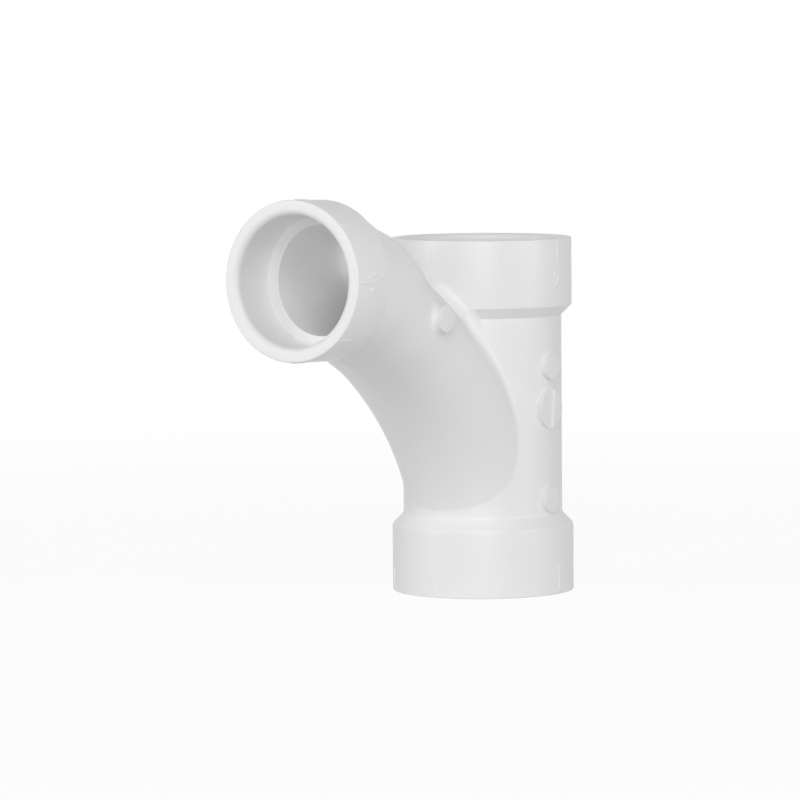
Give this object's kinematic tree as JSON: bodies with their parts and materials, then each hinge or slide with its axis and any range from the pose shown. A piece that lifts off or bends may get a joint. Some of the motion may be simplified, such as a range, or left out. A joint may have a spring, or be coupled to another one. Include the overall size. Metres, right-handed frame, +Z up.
{
  "type": "long turn wye",
  "caption": "Moulded drain fitting: an upright run with a pipe socket at each end and a long swept branch that leaves near the top, with a smaller socket.",
  "frame": {"origin": "middle of the fitting's bounding box in X and Y, on the plane of the lower rim", "axes": "+Z up along the run, +X towards the branch's mouth, +Y square to the fitting's plane of symmetry"},
  "size_m": [0.1618, 0.0706, 0.1549],
  "materials": {
    "white_pvc": "smooth moulded, satin"
  },
  "bodies": {
    "root": {"wye_body": "white_pvc"}
  },
  "joints": []
}
